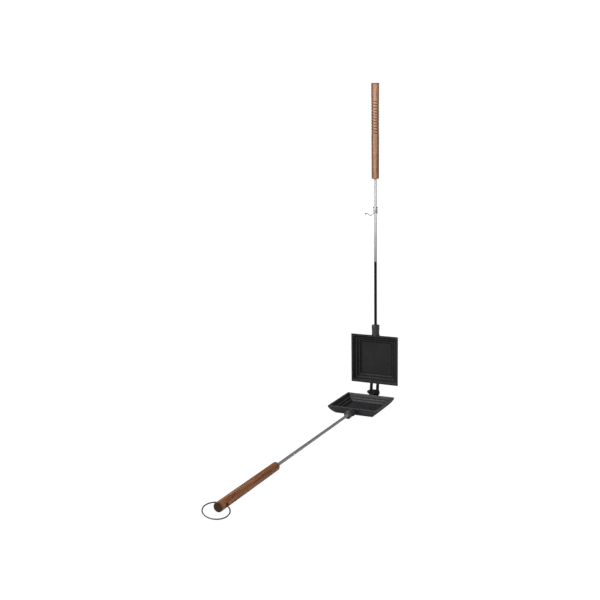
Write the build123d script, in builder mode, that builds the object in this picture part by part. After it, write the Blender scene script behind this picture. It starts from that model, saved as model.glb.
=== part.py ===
from build123d import *
from math import cos, degrees, pi, radians, sin, sqrt
import os

# A camp-fire pie iron. Two square cast-iron pans meet rim to rim and hinge on one bolt, and each
# has a long steel rod that ends in a turned wooden handle. It stands open: the lower half lies on
# its pan, the upper half stands upright on the hinge. Millimetres, +Z up. The origin is the centre
# of the lower pan's flat base. The hinge axis runs along X, and the lower rod runs along -Y.

# ---- Pans
pan_side = 108.0            # outer side of the square rim
pan_depth = 18.5            # from the rim face to the flat base
rim_band = 3.0              # upright band under the rim face
base_inset = 14.0           # how far the base edge lies inside the rim edge
wall_bulge = 1.6            # how far the outer wall swells from a straight slope
base_chamfer = 1.0          # small bevel round the base
parting_gap = 0.3           # gap between the rims of the closed iron
rim_width = 3.5             # flat sealing rim
floor_thickness = 4.0
first_riser_height = 6.5    # tall riser under the rim
first_riser_inset = 3.5     # how far it leans inwards
low_riser_count = 2         # lower steps between it and the floor
low_riser_inset = 2.5
tread_width = 3.0           # flat step between two risers
cavity_corner = 2.5         # corner radius of every step

# ---- Rod sockets
rod_offset = 9.0            # rod axis behind the parting plane
socket_flats = 16.2         # across the flats of the eight-sided socket, at its mouth
socket_root_flats = 14.2    # and where it meets the rim edge
socket_length = 22.0        # stands out of the rim edge
socket_chamfer = 1.2
socket_root = 16.0          # buried in the sloping wall, measured back from the rim edge
flare_growth = 3.0          # root flare, across the flats
flare_length = 3.5
rod_seat_depth = 21.0       # depth of the bore in the socket

# ---- Hinge
hinge_reach = 20.0          # rim edge to the hinge axis
lug_radius = 6.5            # eye about the bolt
neck_depth = 5.0            # slim neck between the eye and the rim
neck_fillet = 2.0           # in the corners between neck and eye
lug_root_length = 9.0       # how far a neck is carried into the wall
knuckle_width = 8.8         # single lug of the lower pan
fork_thickness = 5.2        # each of the two lugs of the upper pan
hinge_side_gap = 0.3        # each side of the knuckle
bolt_radius = 2.5
running_clearance = 0.05    # radial, between the bolt and the lugs
bolt_head_radius = 4.4
bolt_head_height = 2.0
nut_flats = 8.0
nut_hex_height = 3.4
nut_dome_radius = 3.5
nut_thread_depth = 5.2

# ---- Rods and handles, measured from the hinge axis along the rod
rod_radius = 3.0
handle_start = 466.0
handle_length = 198.0
handle_rod_depth = 85.0     # rod inside the handle
handle_front_radius = 7.9   # at the rod
handle_back_radius = 8.3    # at the free end
handle_nose_radius = 2.6    # rounding at the rod end
handle_end_chamfer = 0.8
groove_count = 12
groove_first = 38.2         # from the free end to the first turned groove
groove_pitch = 5.89
groove_width = 3.2
groove_depth = 0.9

# ---- Hanging ring
ring_hole_from_end = 15.6
ring_hole_radius = 3.3
ring_radius = 21.8          # centre line of the wire
ring_wire_radius = 1.1
ring_lean = 11.0            # one side of the ring sinks, as far as its hole lets it
ring_floor_gap = 0.05       # under the ring where it lies on the table

# ---- Latch: a wire hook coiled on the upper rod, and a cross pin in each rod
latch_distance = 392.5      # hinge axis to the near end of the coil
coil_turns = 5.5
coil_pitch = 1.85
latch_wire_radius = 0.75
latch_clearance = 0.3       # between the wire and either rod
latch_rest_angle = 60.0     # hook direction at rest; 90 is hooked on the lower rod
hook_dip = 4.3              # how far the hook arm sinks towards the pans
hook_tail = 8.0             # finger tail beyond the hook
hook_ball_radius = 1.5
pin_radius = 1.3
pin_length = 10.5
pin_dome = 0.5
upper_pin_gap = 0.4         # coil to the cross pin above it
lower_pin_distance = 403.0

# ---- Derived places
half_side = pan_side / 2
rim_z = -parting_gap / 2
base_z = rim_z - pan_depth
cavity_depth = pan_depth - floor_thickness
low_riser_height = (cavity_depth - first_riser_height) / low_riser_count
risers = [(first_riser_height, first_riser_inset)] + low_riser_count * [(low_riser_height, low_riser_inset)]
hinge_y = half_side + hinge_reach
hinge_z = pan_depth + parting_gap / 2
pan_centre = hinge_reach + half_side
rim_front = hinge_reach + pan_side
rod_z = -rod_offset
rod_start = rim_front + socket_length - rod_seat_depth
rod_end = handle_start + handle_rod_depth
handle_end = handle_start + handle_length
fork_inner = knuckle_width / 2 + hinge_side_gap
fork_outer = fork_inner + fork_thickness

# Each half is drawn in a frame of its own: the hinge axis is X, the rod runs along -Y and the
# cavity opens towards +Z. The upper half is the same frame, swung open by a right angle.
lower_frame = Plane(origin=(0, hinge_y, hinge_z))
upper_frame = Plane(origin=(0, hinge_y, hinge_z), x_dir=(-1, 0, 0), z_dir=(0, -1, 0))


def placed(frame, plane):
    """The given plane of a half's own frame, in the model's frame."""
    return Plane(origin=frame.from_local_coords(plane.origin),
                 x_dir=frame.from_local_coords(plane.x_dir) - frame.origin,
                 z_dir=frame.from_local_coords(plane.z_dir) - frame.origin)


def dish_outline(centre):
    """Side view of the dish: upright rim band, swelling wall, flat base."""
    band_z = rim_z - rim_band
    with BuildLine() as outline:
        Polyline((centre - half_side, band_z), (centre - half_side, rim_z),
                 (centre + half_side, rim_z), (centre + half_side, band_z))
        SagittaArc((centre + half_side, band_z), (centre + half_side - base_inset, base_z), wall_bulge)
        Line((centre + half_side - base_inset, base_z), (centre - half_side + base_inset, base_z))
        SagittaArc((centre - half_side + base_inset, base_z), (centre - half_side, band_z), wall_bulge)
    return outline.edges()


def lug_outline(outline):
    """Side view of a hinge lug: an eye about the bolt, and a slim neck carried into the pan wall."""
    Polygon((-hinge_reach - lug_root_length, rim_z), (-hinge_reach, rim_z), (0, neck_depth / 2),
            (0, -neck_depth / 2), (-hinge_reach, rim_z - neck_depth),
            (-hinge_reach - lug_root_length, rim_z - neck_depth), align=None)
    Circle(lug_radius)
    corners = [v for v in outline.vertices() if abs(Vector(v.X, v.Y).length - lug_radius) < 0.001
               and v.X < -lug_radius / 2]
    fillet(corners, neck_fillet)


def octagon(flats):
    """Eight-sided section with a flat on each side, above and below."""
    RegularPolygon(flats / 2, 8, major_radius=False, rotation=22.5)


def along(frame, distance):
    """Section plane across the rod at a distance from the hinge axis, facing the handle."""
    return placed(frame, Plane.XZ.offset(distance))


def pan_half(frame, lug_spans):
    """One cast half: terraced dish, eight-sided rod socket and hinge lugs."""
    with BuildPart() as half:
        with BuildSketch(along(frame, hinge_reach)):
            make_face(dish_outline(0))
        extrude(amount=pan_side)
        with BuildSketch(placed(frame, Plane.YZ)):
            make_face(dish_outline(-pan_centre))
        extrude(amount=half_side, both=True, mode=Mode.INTERSECT)
        base_face = half.faces().filter_by(GeomType.PLANE).sort_by(
            lambda f: (f.center() - frame.origin).dot(frame.z_dir))[0]
        chamfer(base_face.edges(), base_chamfer)

        # Rod socket: it widens towards its mouth and flares at its root
        with BuildSketch(along(frame, rim_front - socket_root)):
            with Locations((0, rod_z)):
                octagon(socket_root_flats)
        extrude(amount=socket_root)
        with BuildSketch(along(frame, rim_front)):
            with Locations((0, rod_z)):
                octagon(socket_root_flats)
        with BuildSketch(along(frame, rim_front + socket_length)):
            with Locations((0, rod_z)):
                octagon(socket_flats)
        loft()
        socket_end = half.faces().sort_by(
            lambda f: (f.center() - frame.origin).dot(frame.y_dir))[0]
        chamfer(socket_end.edges(), socket_chamfer)
        with BuildSketch(along(frame, rim_front - flare_length)):
            with Locations((0, rod_z)):
                octagon(socket_root_flats + flare_growth)
        with BuildSketch(along(frame, rim_front + flare_length)):
            with Locations((0, rod_z)):
                octagon(socket_root_flats + (socket_flats - socket_root_flats) * flare_length / socket_length)
        loft()

        # Hinge lugs
        for low, high in lug_spans:
            with BuildSketch(placed(frame, Plane.YZ.offset(low))) as outline:
                lug_outline(outline)
            extrude(amount=high - low)

        # Terraced cavity, one sloping riser at a time
        top, top_z = pan_side - 2 * rim_width, rim_z
        for height, inset in risers:
            for side, level in ((top, top_z), (top - 2 * inset, top_z - height)):
                with BuildSketch(placed(frame, Plane.XY.offset(level))):
                    with Locations((0, -pan_centre)):
                        RectangleRounded(side, side, cavity_corner)
            loft(mode=Mode.SUBTRACT)
            top, top_z = top - 2 * (inset + tread_width), top_z - height

        # Bores for the rod and the bolt
        with BuildSketch(along(frame, rod_start)):
            with Locations((0, rod_z)):
                Circle(rod_radius)
        extrude(amount=rod_seat_depth, mode=Mode.SUBTRACT)
        with BuildSketch(placed(frame, Plane.YZ)):
            Circle(bolt_radius + running_clearance)
        extrude(amount=fork_outer, both=True, mode=Mode.SUBTRACT)
    return half


def rod(frame, pin_distance):
    """Plain round rod with a cross hole for its pin."""
    with BuildPart() as bar:
        with BuildSketch(along(frame, rod_start)):
            with Locations((0, rod_z)):
                Circle(rod_radius)
        extrude(amount=rod_end - rod_start)
        with BuildSketch(placed(frame, Plane.YZ)):
            with Locations((-pin_distance, rod_z)):
                Circle(pin_radius)
        extrude(amount=rod_radius, both=True, mode=Mode.SUBTRACT)
    return bar


def cross_pin(frame, distance):
    """Pin through a rod, with a domed end on each side."""
    with BuildPart() as pin:
        with BuildSketch(placed(frame, Plane.YZ)):
            with Locations((-distance, rod_z)):
                Circle(pin_radius)
        extrude(amount=pin_length / 2, both=True)
        ends = pin.faces().filter_by(GeomType.PLANE)
        fillet(ends.edges(), pin_dome)
    return pin


def handle(frame, ring_hole):
    """Turned handle: slight taper, rounded nose, a band of ring grooves, and the rod's bore."""
    with BuildPart() as grip:
        # Drawn with x outwards from the rod axis and y towards the free end
        turning = placed(frame, Plane(origin=(0, 0, rod_z), x_dir=(1, 0, 0), z_dir=(0, 0, -1)))
        with BuildSketch(turning) as outline:
            with BuildLine():
                Polyline((0, handle_start), (handle_front_radius, handle_start),
                         (handle_back_radius, handle_end), (0, handle_end), close=True)
            make_face()
            fillet(outline.vertices().sort_by(Axis.Y)[:2].sort_by(Axis.X)[-1:], handle_nose_radius)
        revolve(axis=Axis(turning.origin, turning.y_dir))
        for number in range(groove_count):
            from_end = groove_first + number * groove_pitch
            taper = (handle_back_radius - handle_front_radius) * from_end / handle_length
            skin = handle_back_radius - taper
            middle = handle_end - from_end
            with BuildSketch(turning):
                with BuildLine():
                    Polyline((skin - groove_depth, middle),
                             (skin + groove_depth, middle - groove_width),
                             (skin + groove_depth, middle + groove_width), close=True)
                make_face()
            revolve(axis=Axis(turning.origin, turning.y_dir), mode=Mode.SUBTRACT)
        free_end = grip.faces().filter_by(GeomType.PLANE).sort_by(
            lambda f: (f.center() - turning.origin).dot(turning.y_dir))[-1]
        chamfer(free_end.edges(), handle_end_chamfer)
        with BuildSketch(along(frame, handle_start)):
            with Locations((0, rod_z)):
                Circle(rod_radius)
        extrude(amount=handle_rod_depth, mode=Mode.SUBTRACT)
        if ring_hole:
            with BuildSketch(placed(frame, Plane.YZ)):
                with Locations((ring_hole_from_end - handle_end, rod_z)):
                    Circle(ring_hole_radius)
            extrude(amount=handle_back_radius + 1, both=True, mode=Mode.SUBTRACT)
    return grip


os.makedirs("parts", exist_ok=True)

# ---- Cast halves: one knuckle on the lower pan, a fork of two lugs on the upper pan
lower_pan = pan_half(lower_frame, [(-knuckle_width / 2, knuckle_width / 2)])
upper_pan = pan_half(upper_frame, [(-fork_outer, -fork_inner), (fork_inner, fork_outer)])

# ---- Rods, pins and handles
coil_height = coil_turns * coil_pitch
upper_pin_distance = latch_distance + coil_height + latch_wire_radius + upper_pin_gap + pin_radius
lower_rod = rod(lower_frame, lower_pin_distance)
upper_rod = rod(upper_frame, upper_pin_distance)
lower_stop_pin = cross_pin(lower_frame, lower_pin_distance)
upper_stop_pin = cross_pin(upper_frame, upper_pin_distance)
lower_handle = handle(lower_frame, ring_hole=True)
upper_handle = handle(upper_frame, ring_hole=False)

# ---- Hinge bolt: low round head on the +X side, threaded end in the cap nut
with BuildPart() as hinge_bolt:
    with BuildSketch(placed(lower_frame, Plane.YZ.offset(-fork_outer - nut_thread_depth))):
        Circle(bolt_radius)
    extrude(amount=2 * fork_outer + nut_thread_depth)
    with BuildSketch(placed(lower_frame, Plane.YZ.offset(fork_outer))):
        Circle(bolt_head_radius)
    extrude(amount=bolt_head_height)
    head_rim = hinge_bolt.edges().filter_by(GeomType.CIRCLE).sort_by(Axis.X)[-1]
    fillet(head_rim, bolt_head_height * 0.7)

# ---- Cap nut: hexagon with a domed cap that closes over the bolt's end
with BuildPart() as hinge_nut:
    nut_plane = placed(lower_frame, Plane.YZ.offset(-fork_outer))
    with BuildSketch(nut_plane):
        RegularPolygon(nut_flats / 2, 6, major_radius=False)
    extrude(amount=-nut_hex_height)
    with BuildSketch(placed(lower_frame, Plane.XY)):
        with BuildLine():
            dome_base = -fork_outer - nut_hex_height
            Line((dome_base, 0), (dome_base, nut_dome_radius))
            CenterArc((dome_base, 0), nut_dome_radius, 90, 90)
            Line((dome_base - nut_dome_radius, 0), (dome_base, 0))
        make_face()
    revolve(axis=Axis((0, hinge_y, hinge_z), (1, 0, 0)))
    with BuildSketch(nut_plane):
        Circle(bolt_radius)
    extrude(amount=-nut_thread_depth, mode=Mode.SUBTRACT)

# ---- Hanging ring, threaded through the lower handle. It leans in its hole and droops until its
# wire meets the table.
hole_height = hinge_z + rod_z
sagitta = ring_radius - sqrt(ring_radius**2 - handle_back_radius**2)
ring_shift = ring_radius - sagitta / 2              # hole axis to ring centre
lean = radians(ring_lean)


def ring_lowest(droop):
    """Height of the lowest point of the wire over the table."""
    reach = sqrt(sin(droop)**2 + (cos(droop) * sin(lean))**2)
    return hole_height - ring_shift * sin(droop) - ring_radius * reach - ring_wire_radius


ring_droop, step = 0.0, 0.4
while step > 1e-9:
    if ring_lowest(ring_droop + step) > ring_floor_gap:
        ring_droop += step
    step /= 2
ring_outward = Vector(0, -cos(ring_droop), -sin(ring_droop))
ring_across = Vector(cos(lean), sin(ring_droop) * sin(lean), -cos(ring_droop) * sin(lean))
ring_hole = Vector(0, hinge_y + ring_hole_from_end - handle_end, hole_height)
with BuildPart(Plane(origin=ring_hole + ring_outward * ring_shift, x_dir=ring_across,
                     z_dir=ring_across.cross(ring_outward))) as hanging_ring:
    Torus(ring_radius, ring_wire_radius)

# ---- Latch hook. In its own frame z runs up the rod, x along the hook arm, and the open mouth of
# the hook faces +y, the way it swings on to the lower rod.
latch_angle = radians(latch_rest_angle)
latch_plane = placed(upper_frame, Plane(origin=(0, -latch_distance, rod_z), z_dir=(0, -1, 0),
                                        x_dir=(cos(latch_angle), 0, sin(latch_angle))))
coil_radius = rod_radius + latch_clearance + latch_wire_radius
rod_spacing = 2 * rod_offset
hook_clear = rod_radius + latch_clearance + latch_wire_radius
helix_rise = coil_pitch / (2 * pi * coil_radius)
leave = Vector(0, -1, -helix_rise).normalized()
first = Vector(coil_radius, 0, 0)
hook_points = [
    first,
    first + leave * (hook_clear * 0.9),
    Vector(coil_radius + 4.4, -hook_clear - 0.6, -hook_dip),
    Vector(rod_spacing + 0.5, -hook_clear - 1.0, -hook_dip + 5.3),
    Vector(rod_spacing + hook_clear + 0.9, -1.0, -hook_dip + 5.9),
    Vector(rod_spacing + hook_clear + 1.6, 3.2, -hook_dip + 6.1),
    Vector(rod_spacing + hook_clear + hook_tail, 4.4, -hook_dip + 6.0),
]
with BuildPart() as latch_hook:
    with BuildLine(latch_plane) as coil_path:
        Helix(coil_pitch, coil_height, coil_radius)
    coil_start = coil_path.line
    with BuildSketch(Plane(origin=coil_start @ 0, z_dir=coil_start % 0)):
        Circle(latch_wire_radius)
    sweep(path=coil_path.line, is_frenet=True)
    with BuildLine(latch_plane) as arm_path:
        FilletPolyline(*[(p.X, p.Y, p.Z) for p in hook_points], radius=[1.7, 2.4, 2.6, 2.2, 1.6])
    with BuildSketch(Plane(origin=arm_path.line @ 0, z_dir=arm_path.line % 0)):
        Circle(latch_wire_radius)
    sweep(path=arm_path.line)
    with Locations(arm_path.line @ 1):
        Sphere(hook_ball_radius)

for piece, name in ((lower_pan, "lower_pan"), (upper_pan, "upper_pan"),
                    (lower_rod, "lower_rod"), (upper_rod, "upper_rod"),
                    (lower_stop_pin, "lower_stop_pin"), (upper_stop_pin, "upper_stop_pin"),
                    (lower_handle, "lower_handle"), (upper_handle, "upper_handle"),
                    (hinge_bolt, "hinge_bolt"), (hinge_nut, "hinge_nut"),
                    (hanging_ring, "hanging_ring"), (latch_hook, "latch_hook")):
    piece.part.label = name
    export_step(piece.part, "parts/" + name + ".step")
print("ring droop", round(degrees(ring_droop), 2), "hinge", hinge_y, hinge_z, "hole", ring_hole)
print("upper pin", upper_pin_distance, "coil radius", coil_radius)
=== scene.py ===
import bpy
from mathutils import Matrix, Vector

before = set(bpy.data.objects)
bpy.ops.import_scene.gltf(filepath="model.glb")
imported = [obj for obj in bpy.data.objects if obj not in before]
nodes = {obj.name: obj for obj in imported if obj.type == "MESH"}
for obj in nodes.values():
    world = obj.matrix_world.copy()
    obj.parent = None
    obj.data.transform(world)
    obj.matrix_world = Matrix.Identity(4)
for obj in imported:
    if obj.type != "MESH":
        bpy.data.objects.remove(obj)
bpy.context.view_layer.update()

# ---- Places on the part that the finishes follow, in metres in the part's own frame
X, Y, Z = range(3)
hinge = (0.0, 0.074, 0.01865)
rod_back = 0.009
handle_far = 0.664
lower_axis = (0.0, 0.0, hinge[Z] - rod_back)
upper_axis = (0.0, hinge[Y] + rod_back, 0.0)
lower_handle_end = hinge[Y] - handle_far
upper_handle_end = hinge[Z] + handle_far
handle_length = 0.198
handle_end_radius = 0.0083
handle_taper = 0.0004
grip_from, grip_to = 0.030, 0.109
# The stretch of the upper rod's axis where its painted dark reflection ends
dark_reflection_from, dark_reflection_to = 0.3085, 0.3120
coil_reach = 0.0055
hook_ball_reach = 0.028

# Each pan: the axis along its rod with the pan's centre and socket side on it, and the axis of
# its depth with the rim's place and the floor's side on it
rim_gap = 0.00015
lower_pan_place = {"long_axis": Y, "centre": 0.0, "socket_side": -1.0,
                   "deep_axis": Z, "rim": hinge[Z] - rim_gap, "floor_side": -1.0}
upper_pan_place = {"long_axis": Z, "centre": hinge[Y] + hinge[Z], "socket_side": 1.0,
                   "deep_axis": Y, "rim": hinge[Y] + rim_gap, "floor_side": 1.0}

# Terraces of a pan: half side and depth below the rim of each ridge and each hollow corner
ridges = ((0.0540, 0.0), (0.0505, 0.0), (0.0440, 0.0065), (0.0385, 0.0105))
hollows = ((0.0470, 0.0065), (0.0415, 0.0105), (0.0360, 0.0145))


# ---- Small helpers for shader graphs
def shade(colour, factor):
    return tuple(part * factor for part in colour)


class Graph:
    """The node tree of a material or of the world, with short calls for the nodes used here."""

    def __init__(self, owner):
        owner.use_nodes = True
        self.owner = owner
        self.tree = owner.node_tree
        self.shader = self.tree.nodes.get("Principled BSDF")

    def node(self, kind, **settings):
        made = self.tree.nodes.new(kind)
        for key, value in settings.items():
            setattr(made, key, value)
        return made

    def put(self, socket, value):
        """Link value to the socket, or set it where it is a plain number or colour."""
        if isinstance(value, bpy.types.NodeSocket):
            self.tree.links.new(value, socket)
        else:
            socket.default_value = value

    # Arithmetic on numbers and sockets
    def math(self, operation, *values):
        made = self.node("ShaderNodeMath", operation=operation)
        for socket, value in zip(made.inputs, values):
            self.put(socket, value)
        return made.outputs[0]

    def add(self, a, b):
        return self.math("ADD", a, b)

    def minus(self, a, b):
        return self.math("SUBTRACT", a, b)

    def times(self, a, b):
        return self.math("MULTIPLY", a, b)

    def times_add(self, a, b, c):
        return self.math("MULTIPLY_ADD", a, b, c)

    def inverse(self, a):
        return self.minus(1.0, a)

    def absolute(self, a):
        return self.math("ABSOLUTE", a)

    def length(self, a, b):
        return self.math("SQRT", self.add(self.times(a, a), self.times(b, b)))

    def step(self, value, low, high):
        """Smooth 0 to 1 as value goes from low to high."""
        made = self.node("ShaderNodeMapRange", interpolation_type="SMOOTHSTEP")
        self.put(made.inputs["Value"], value)
        made.inputs["From Min"].default_value = low
        made.inputs["From Max"].default_value = high
        return made.outputs["Result"]

    def slope(self, value, low, high, start, finish):
        """A straight line from start at low to finish at high, and level outside them."""
        made = self.node("ShaderNodeMapRange")
        for name, number in (("From Min", low), ("From Max", high), ("To Min", start),
                             ("To Max", finish)):
            made.inputs[name].default_value = number
        self.put(made.inputs["Value"], value)
        return made.outputs["Result"]

    # Places and patterns
    def place(self):
        """Coordinates in the part's own frame, in metres."""
        return self.node("ShaderNodeTexCoord").outputs["Object"]

    def parts(self, vector):
        made = self.node("ShaderNodeSeparateXYZ")
        self.put(made.inputs[0], vector)
        return made.outputs

    def scaled(self, vector, scale, offset=(0, 0, 0)):
        made = self.node("ShaderNodeMapping")
        self.put(made.inputs["Vector"], vector)
        made.inputs["Location"].default_value = offset
        made.inputs["Scale"].default_value = scale
        return made.outputs[0]

    def noise(self, vector, scale=1.0, detail=4.0, roughness=0.55, distortion=0.0):
        made = self.node("ShaderNodeTexNoise")
        self.put(made.inputs["Vector"], vector)
        made.inputs["Scale"].default_value = scale
        made.inputs["Detail"].default_value = detail
        made.inputs["Roughness"].default_value = roughness
        made.inputs["Distortion"].default_value = distortion
        return made.outputs["Fac"]

    def edges(self, radius, low, high):
        """Mask of the edges, from how far a bevel of the radius turns the normal."""
        bevel = self.node("ShaderNodeBevel", samples=4)
        bevel.inputs["Radius"].default_value = radius
        geometry = self.node("ShaderNodeNewGeometry")
        turned = self.node("ShaderNodeVectorMath", operation="DOT_PRODUCT")
        self.put(turned.inputs[0], bevel.outputs[0])
        self.put(turned.inputs[1], geometry.outputs["Normal"])
        return self.step(self.inverse(turned.outputs["Value"]), low, high)

    # Colour and surface
    def ramp(self, value, stops):
        made = self.node("ShaderNodeValToRGB")
        self.put(made.inputs["Fac"], value)
        while len(made.color_ramp.elements) < len(stops):
            made.color_ramp.elements.new(0.5)
        for element, (position, colour) in zip(made.color_ramp.elements, stops):
            element.position = position
            element.color = (*colour, 1)
        return made.outputs["Color"]

    def mix(self, factor, first, second, blend="MIX"):
        """first where factor is 0 and second where it is 1; each is a socket or a colour."""
        made = self.node("ShaderNodeMix", data_type="RGBA", blend_type=blend)
        self.put(made.inputs["Factor"], factor)
        for socket, value in ((made.inputs[6], first), (made.inputs[7], second)):
            self.put(socket, (*value, 1) if isinstance(value, tuple) else value)
        return made.outputs[2]

    def bump(self, height, strength, distance, normal=None):
        made = self.node("ShaderNodeBump")
        self.put(made.inputs["Height"], height)
        made.inputs["Strength"].default_value = strength
        made.inputs["Distance"].default_value = distance
        if normal is not None:
            self.put(made.inputs["Normal"], normal)
        return made.outputs["Normal"]

    def finish(self, colour, roughness, normal, metallic, specular=0.5):
        self.put(self.shader.inputs["Base Color"], colour)
        self.put(self.shader.inputs["Roughness"], roughness)
        self.put(self.shader.inputs["Normal"], normal)
        self.shader.inputs["Metallic"].default_value = metallic
        self.shader.inputs["Specular IOR Level"].default_value = specular
        return self.owner


# ---- Materials
def seasoned_iron(name, cast, highlight_strength, gleam, long_axis, centre, socket_side, deep_axis, rim,
                  floor_side):
    """Sand-cast iron under a thin baked film of seasoning: fine grain, soft blotches, and paler
    edges, partly scuffed bare and partly a painted highlight. cast tints the film, browner, or
    bluer as a painted reflection; the number after it sets the painted highlights on the ridges
    of the terraces and on their mitred corners; gleam is the specular level, and the rest is the
    pan's place."""
    corner_shade = (0.0015, 0.0015, 0.0016)
    lug_black = (0.0012, 0.0012, 0.0012)
    pit = (0.006, 0.006, 0.006)
    bare = (0.120, 0.116, 0.114)
    ridge_highlight = (0.090, 0.089, 0.090)
    mitre_glint = (0.30, 0.29, 0.28)
    socket_grey = (0.030, 0.030, 0.031)
    film_tones = ((0.25, (0.006, 0.006, 0.0063)), (0.5, (0.010, 0.0098, 0.010)),
                  (0.75, (0.016, 0.0145, 0.0138)))

    g = Graph(bpy.data.materials.new(name))
    place = g.place()
    grain = g.noise(place, 1500, 5, 0.62)
    pits = g.noise(place, 520, 3, 0.5)
    blotch = g.noise(place, 34, 5, 0.6, 0.4)
    swell = g.noise(place, 90, 2, 0.5)
    # Paler edges, partly scuffed bare and partly a painted highlight
    edge_marks = g.times(g.edges(0.0009, 0.02, 0.30), g.step(g.noise(place, 260, 4), 0.38, 0.62))
    film = g.mix(1.0, g.ramp(blotch, film_tones), cast, "MULTIPLY")
    colour = g.mix(g.times(edge_marks, 0.8), film, bare)
    colour = g.mix(g.times(g.step(pits, 0.62, 0.72), 0.5), colour, pit)

    # Terraces: patchy painted highlights on the ridges, painted shade in the hollow corners
    at = g.parts(place)
    lengthways = g.minus(at[long_axis], centre)
    across, along = g.absolute(at[X]), g.absolute(lengthways)
    square = g.math("MAXIMUM", across, along)
    depth = g.times(g.minus(at[deep_axis], rim), floor_side)

    def near(half_side, down, full, none):
        """1 within full of the square line at half_side and down, and 0 beyond none."""
        gap = g.length(g.minus(square, half_side), g.minus(depth, down))
        return g.inverse(g.step(gap, full, none))

    hollow, ridge = 0.0, 0.0
    for line in hollows:
        hollow = g.math("MAXIMUM", near(*line, 0.0003, 0.0026), hollow)
    for line in ridges:
        ridge = g.math("MAXIMUM", near(*line, 0.0004, 0.0011), ridge)
    highlight_breakup = g.times_add(g.step(g.noise(place, 150, 4), 0.35, 0.65), 0.6, 0.4)
    # Painted glints along the mitred corners of the terraces, in patches
    mitre = g.inverse(g.step(g.absolute(g.minus(across, along)), 0.0004, 0.0010))
    mitre = g.times(mitre, g.step(square, 0.0365, 0.0380))
    mitre_glints = g.times(mitre, g.step(g.noise(place, 300, 2), 0.56, 0.62))
    # Painted shade in the hollow corners, painted highlights on the ridges, painted glints on the
    # mitres
    colour = g.mix(g.times(hollow, 0.85), colour, corner_shade)
    colour = g.mix(g.times(g.times(ridge, highlight_breakup), highlight_strength), colour, ridge_highlight)
    colour = g.mix(g.times(mitre_glints, highlight_strength), colour, mitre_glint)

    # The socket gets a greyer, lighter skin, in patches
    socket = g.step(g.times(lengthways, socket_side), 0.0545, 0.0570)
    socket = g.times(socket, g.times_add(blotch, 0.5, 0.65))
    colour = g.mix(socket, colour, socket_grey)

    # The hinge lugs are darkened almost to black, and made rougher
    from_hinge = g.length(g.minus(at[Y], hinge[Y]), g.minus(at[Z], hinge[Z]))
    lug_zone = g.inverse(g.step(from_hinge, 0.0185, 0.0205))
    colour = g.mix(lug_zone, colour, lug_black)

    rough = g.times_add(hollow, 0.3, g.times_add(grain, 0.20, 0.36))
    rough = g.math("MINIMUM", g.times_add(lug_zone, 0.45, rough), 1.0)
    normal = g.bump(swell, 0.25, 0.0006)
    normal = g.bump(pits, 0.35, 0.00022, normal)
    normal = g.bump(grain, 0.55, 0.00012, normal)
    return g.finish(colour, rough, normal, 0.0, gleam)


def drawn_steel(name, tint, axis, roughness, black=None, pale_to=None):
    """Drawn steel rod with fine lines along it. Where black is given, a painted dark reflection
    covers the rod up to that stretch of its axis, and beyond it the painted reflection fades out
    by pale_to."""
    dark_reflection = (0.018, 0.018, 0.019)
    lines_along, lines_across = 9.0, 1500.0
    scale = [lines_across] * 3
    scale[axis] = lines_along

    g = Graph(bpy.data.materials.new(name))
    place = g.place()
    lines = g.noise(g.scaled(place, scale), 1.0, 3, 0.5)
    smudge = g.noise(place, 48, 4, 0.6)
    colour = g.mix(g.times(lines, 0.12), tint, shade(tint, 0.7))
    colour = g.mix(g.times(g.step(smudge, 0.5, 0.75), 0.07), colour, shade(tint, 0.75))
    rough = g.times_add(lines, 0.08, roughness)
    if black is not None:
        # Painted reflection: dark up to the given stretch of the axis, then fading to the steel's
        # own tone
        along = g.add(g.parts(place)[axis], g.times(g.noise(place, 130, 3), 0.004))
        reflection_fade = g.inverse(g.step(along, black[1], pale_to))
        colour = g.mix(g.times(reflection_fade, 0.68), colour, shade(tint, 0.35))
        past_dark_reflection = g.step(along, *black)
        colour = g.mix(past_dark_reflection, dark_reflection, colour)
        rough = g.add(rough, g.times(g.inverse(past_dark_reflection), 0.06))
    return g.finish(colour, rough, g.bump(lines, 0.02, 0.00002), 1.0)


def wire_steel(name, tint, roughness=0.34, darkened=False):
    """Dull plated wire. On the latch, which is darkened, the arm beyond the coil is darker and
    its ball almost black."""
    g = Graph(bpy.data.materials.new(name))
    place = g.place()
    fine = g.noise(place, 900, 4, 0.6)
    patch = g.noise(place, 140, 4, 0.6)
    colour = g.mix(g.step(patch, 0.4, 0.7), tint, shade(tint, 0.6))
    if darkened:
        at = g.parts(place)
        from_rod = g.length(at[X], g.minus(at[Y], upper_axis[Y]))
        arm = g.step(from_rod, coil_reach, coil_reach + 0.002)
        ball = g.step(from_rod, hook_ball_reach, hook_ball_reach + 0.002)
        colour = g.mix(arm, colour, shade(tint, 0.27))
        colour = g.mix(ball, colour, shade(tint, 0.07))
    rough = g.times_add(fine, 0.18, roughness)
    return g.finish(colour, rough, g.bump(fine, 0.3, 0.00005), 1.0)


def black_fastener(name):
    """Black oxide on the bolt and cap nut, scuffed to bare steel on the corners."""
    oxide, bare = (0.010, 0.010, 0.011), (0.15, 0.15, 0.15)
    g = Graph(bpy.data.materials.new(name))
    place = g.place()
    fine = g.noise(place, 1100, 4, 0.6)
    edge_marks = g.times(g.edges(0.0005, 0.03, 0.3), g.step(g.noise(place, 420, 3), 0.4, 0.6))
    colour = g.mix(g.times(edge_marks, 0.6), oxide, bare)
    rough = g.times_add(fine, 0.2, 0.28)
    return g.finish(colour, rough, g.bump(fine, 0.3, 0.00006), 0.3, 0.2)


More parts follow.
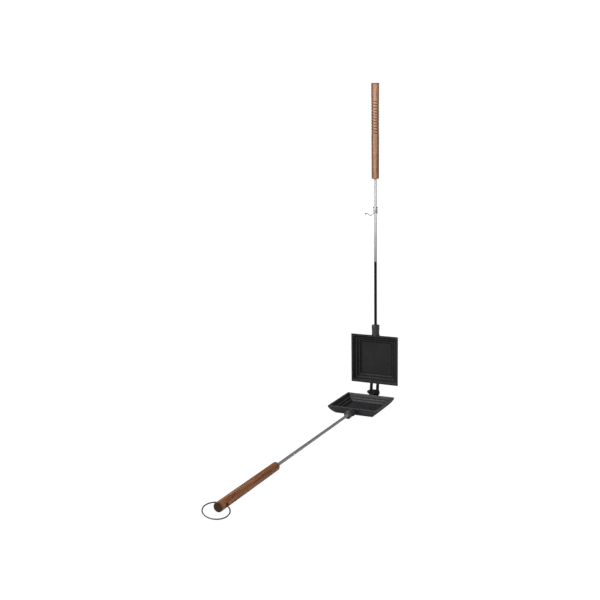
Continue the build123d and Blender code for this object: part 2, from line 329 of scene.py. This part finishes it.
def handle_wood(name, axis, centre, free_end, tones, groove_shade, gloss, shaded_sides):
    """Oiled hardwood turned on a lathe: grain along the handle, dark pores, rings on the end, and
    grooves darkened as painted shade. axis is the handle's direction, centre a point of its axis,
    the next number how dark the painted shade in the grooves is, gloss the weight of the oiled
    coat, and the last argument the directions across the handle whose sides get painted shade,
    each with its strength."""
    dark, middle, light = tones
    raw_wood = (0.62, 0.44, 0.29)
    shaded_side_radius = 0.008

    g = Graph(bpy.data.materials.new(name))
    moved = g.node("ShaderNodeVectorMath", operation="SUBTRACT")
    g.put(moved.inputs[0], g.place())
    moved.inputs[1].default_value = centre
    local = moved.outputs[0]
    at = g.parts(local)
    u, v = (at[i] for i in (X, Y, Z) if i != axis)

    def stretched(along, across, shift=0.0):
        scale = [across] * 3
        scale[axis] = along
        return g.scaled(local, scale, (shift, shift, shift))

    # Growth rings about a pith that lies outside the handle, wandering along the grain
    wander = g.noise(stretched(9, 60), 1.0, 3, 0.5)
    pith = g.length(g.add(u, g.times_add(wander, 0.004, 0.011)), g.add(v, 0.006))
    late = g.math("POWER", g.math("FRACT", g.times(pith, 520)), 2.2)
    fibre = g.noise(stretched(28, 1100), 1.0, 6, 0.65)
    streak = g.noise(stretched(11, 260, 3.7), 1.0, 5, 0.6)
    flame = g.noise(stretched(4, 70, 9.1), 1.0, 3, 0.55)
    pores = g.step(g.noise(stretched(70, 1900, 1.3), 1.0, 2, 0.5), 0.60, 0.70)
    fleck = g.step(g.noise(stretched(330, 900, 5.5), 1.0, 2, 0.5), 0.60, 0.70)
    tone = g.add(g.times(fibre, 0.45), g.times(streak, 0.40))
    tone = g.add(tone, g.times(g.minus(flame, 0.5), 0.5))
    tone = g.minus(tone, g.times(late, 0.16))
    colour = g.ramp(tone, [(0.24, dark), (0.42, middle), (0.58, light)])
    # Painted shade on the sides of the handle that face the given directions
    for across_u, across_v, strength in shaded_sides:
        side = g.add(g.times(u, across_u / shaded_side_radius), g.times(v, across_v / shaded_side_radius))
        side = g.add(side, g.times(g.minus(streak, 0.5), 0.35))
        colour = g.mix(g.times(g.step(side, 0.78, 0.98), strength), colour, shade(dark, 0.6))
    colour = g.mix(g.times(pores, 0.75), colour, shade(dark, 0.35))
    colour = g.mix(g.times(fleck, 0.5), colour, shade(light, 1.35))

    # Painted shade in the grooves: below the turned skin, which tapers along the handle
    from_end = g.absolute(g.minus(at[axis], free_end))
    skin = g.times_add(from_end, -handle_taper / handle_length, handle_end_radius)
    sunk = g.minus(skin, g.length(u, v))
    grip = g.times(g.step(from_end, grip_from, grip_from + 0.002),
                   g.inverse(g.step(from_end, grip_to - 0.002, grip_to)))
    groove = g.times(g.step(sunk, 0.00020, 0.00075), grip)
    colour = g.mix(g.times(groove, groove_shade), colour, shade(dark, 0.5))

    # Raw pale wood inside the hole for the ring
    hole = g.times(g.step(sunk, 0.0008, 0.0012), g.inverse(grip))
    hole = g.times(hole, g.step(from_end, 0.0060, 0.0065))
    colour = g.mix(hole, colour, raw_wood)

    # Darker end grain with rings, deepened by painted shade, a dark rim, and darker edges
    facing = g.parts(g.node("ShaderNodeTexCoord").outputs["Normal"])[axis]
    end = g.step(g.absolute(facing), 0.55, 0.9)
    colour = g.mix(end, colour, g.mix(late, shade(dark, 0.55), shade(dark, 0.15)))
    rim = g.inverse(g.step(from_end, 0.0014, 0.0028))
    colour = g.mix(g.times(rim, 0.6), colour, shade(dark, 0.4))
    edge_marks = g.edges(0.0008, 0.05, 0.4)
    colour = g.mix(g.times(edge_marks, 0.3), colour, shade(dark, 0.5))

    rough = g.times_add(end, 0.4, g.times_add(fibre, 0.22, 0.34))
    normal = g.bump(fibre, 0.35, 0.00012)
    normal = g.bump(pores, 0.4, 0.00010, normal)
    g.shader.inputs["Coat Weight"].default_value = gloss
    g.shader.inputs["Coat Roughness"].default_value = 0.32
    return g.finish(colour, rough, normal, 0.0, 0.24)


# ---- Finishes on the carried-over solids
# Both handles are the same wood: the upper one in lit tones, the lower one in darker tones that
# are painted shade
upper_lit_tones = ((0.150, 0.063, 0.031), (0.372, 0.190, 0.105), (0.550, 0.327, 0.207))
lower_shaded_tones = ((0.062, 0.018, 0.006), (0.200, 0.068, 0.021), (0.410, 0.172, 0.068))
# Directions across each handle whose sides get painted shade, each with its strength
lower_shaded_sides = ((-0.6, -0.8, 0.5), (-0.9, 0.4, 0.3))
upper_shaded_sides = ((-0.62, -0.78, 0.9), (0.96, -0.29, 0.12), (-0.2, 0.98, 0.4))
fastener = black_fastener("black_fastener_finish")
finishes = {
    # Both pans are the same iron; the lower pan's bluer cast is a painted reflection
    "lower_pan": seasoned_iron("lower_iron_finish", cast=(0.94, 1.0, 1.18), highlight_strength=0.70,
                               gleam=0.31, **lower_pan_place),
    "upper_pan": seasoned_iron("upper_iron_finish", cast=(0.94, 0.885, 0.87), highlight_strength=0.14,
                               gleam=0.23, **upper_pan_place),
    # Both rods are the same steel: the lower rod's darker tint is painted shade, and the upper
    # rod carries a painted dark reflection
    "lower_rod": drawn_steel("lower_rod_finish", (0.41, 0.41, 0.415), Y, roughness=0.58),
    "upper_rod": drawn_steel("upper_rod_finish", (0.60, 0.60, 0.605), Z, roughness=0.62,
                             black=(dark_reflection_from, dark_reflection_to), pale_to=0.42),
    # Both stop pins are the same steel; the upper pin's near-black tint is painted shadow
    "lower_stop_pin": wire_steel("lower_pin_finish", (0.32, 0.32, 0.32), roughness=0.3),
    "upper_stop_pin": wire_steel("upper_pin_finish", (0.025, 0.025, 0.026)),
    "lower_handle": handle_wood("lower_handle_finish", Y, lower_axis, lower_handle_end,
                                lower_shaded_tones, groove_shade=0.6, gloss=0.18, shaded_sides=lower_shaded_sides),
    "upper_handle": handle_wood("upper_handle_finish", Z, upper_axis, upper_handle_end,
                                upper_lit_tones, groove_shade=0.82, gloss=0.15, shaded_sides=upper_shaded_sides),
    "hinge_bolt": fastener,
    "hinge_nut": fastener,
    "hanging_ring": wire_steel("ring_finish", (0.13, 0.13, 0.133)),
    "latch_hook": wire_steel("latch_finish", (0.60, 0.60, 0.60), roughness=0.5, darkened=True),
}
for name, material in finishes.items():
    for slot in nodes[name].material_slots:
        slot.material = material

# ---- Stage: a white floor that keeps a faint shadow, a white surround and soft lamps
reach, drop = 30.0, -0.0004
floor_mesh = bpy.data.meshes.new("floor")
floor_mesh.from_pydata([(x, y, drop) for x, y in ((-reach, -reach), (reach, -reach),
                                                  (reach, reach), (-reach, reach))],
                       [], [(0, 1, 2, 3)])
floor = bpy.data.objects.new("floor", floor_mesh)
bpy.context.scene.collection.objects.link(floor)

# The camera sees mostly a white glow near the part and nothing else far away; every other ray
# meets matte grey
near_share, near_reach, far_reach = 0.86, 1.1, 2.4
g = Graph(bpy.data.materials.new("floor_finish"))
camera_ray = g.node("ShaderNodeLightPath").outputs["Is Camera Ray"]
matte = g.node("ShaderNodeBsdfDiffuse")
matte.inputs["Color"].default_value = (0.66, 0.66, 0.66, 1)
glow = g.node("ShaderNodeEmission")
glow.inputs["Color"].default_value = (1, 1, 1, 1)
glow.inputs["Strength"].default_value = 1.12
away = g.node("ShaderNodeVectorMath", operation="LENGTH")
g.put(away.inputs[0], g.place())
share = g.times_add(g.step(away.outputs["Value"], near_reach, far_reach), 1.0 - near_share,
                    near_share)
blend = g.node("ShaderNodeMixShader")
g.put(blend.inputs["Fac"], g.times(camera_ray, share))
g.put(blend.inputs[1], matte.outputs[0])
g.put(blend.inputs[2], glow.outputs[0])
g.put(g.tree.nodes["Material Output"].inputs["Surface"], blend.outputs[0])
floor_mesh.materials.append(g.owner)

# The surround is white to the camera, and lights the part less from above and from behind
world = bpy.data.worlds.new("studio")
bpy.context.scene.world = world
g = Graph(world)
camera_ray = g.node("ShaderNodeLightPath").outputs["Is Camera Ray"]
heading = g.parts(g.node("ShaderNodeTexCoord").outputs["Generated"])
light = g.times(g.slope(heading[Z], 0.05, 0.75, 0.82, 0.22),
                g.slope(heading[Y], -0.5, 0.7, 1.0, 0.40))
level = g.node("ShaderNodeMix", data_type="FLOAT")
g.put(level.inputs["Factor"], camera_ray)
g.put(level.inputs[2], light)
g.put(level.inputs[3], 1.05)
background = g.tree.nodes["Background"]
g.put(background.inputs["Strength"], level.outputs[0])
background.inputs["Color"].default_value = (1, 1, 1, 1)


def lamp(name, place, target, size, power):
    """A square soft lamp at place, turned to target."""
    data = bpy.data.lights.new(name, "AREA")
    data.shape = "SQUARE"
    data.size = size
    data.energy = power
    made = bpy.data.objects.new(name, data)
    bpy.context.scene.collection.objects.link(made)
    made.location = place
    made.rotation_euler = (Vector(target) - Vector(place)).to_track_quat("-Z", "Y").to_euler()


lamp("key", (-0.10, -2.8, 0.75), (0, 0, 0.3), 0.9, 21)
lamp("side", (1.9, -1.6, 0.8), (0, 0.08, 0.5), 0.6, 16)
lamp("crown", (-0.96, -1.82, 1.65), (0, 0, 0.05), 0.6, 13)
lamp("top", (-1.2, -0.95, 3.0), (0, -0.05, 0.1), 1.1, 78)

# ---- Camera: from the front right and a little above
sensor_width, picture_width, focal_length_in_pixels = 36.0, 600, 915.449
camera_data = bpy.data.cameras.new("camera")
camera_data.sensor_width = sensor_width
camera_data.lens = focal_length_in_pixels / picture_width * sensor_width
camera_data.clip_end = 100
camera = bpy.data.objects.new("camera", camera_data)
bpy.context.scene.collection.objects.link(camera)
bpy.context.scene.camera = camera
right = Vector((0.897889, 0.43991, -0.016543))
up = -Vector((0.064813, -0.169273, -0.983436))
back = -Vector((-0.435424, 0.881944, -0.1805))
turn = Matrix((right, up, back)).transposed().to_4x4()
camera.matrix_world = Matrix.Translation((0.71777, -1.74101, 0.58501)) @ turn

bpy.context.scene.view_settings.view_transform = "Standard"
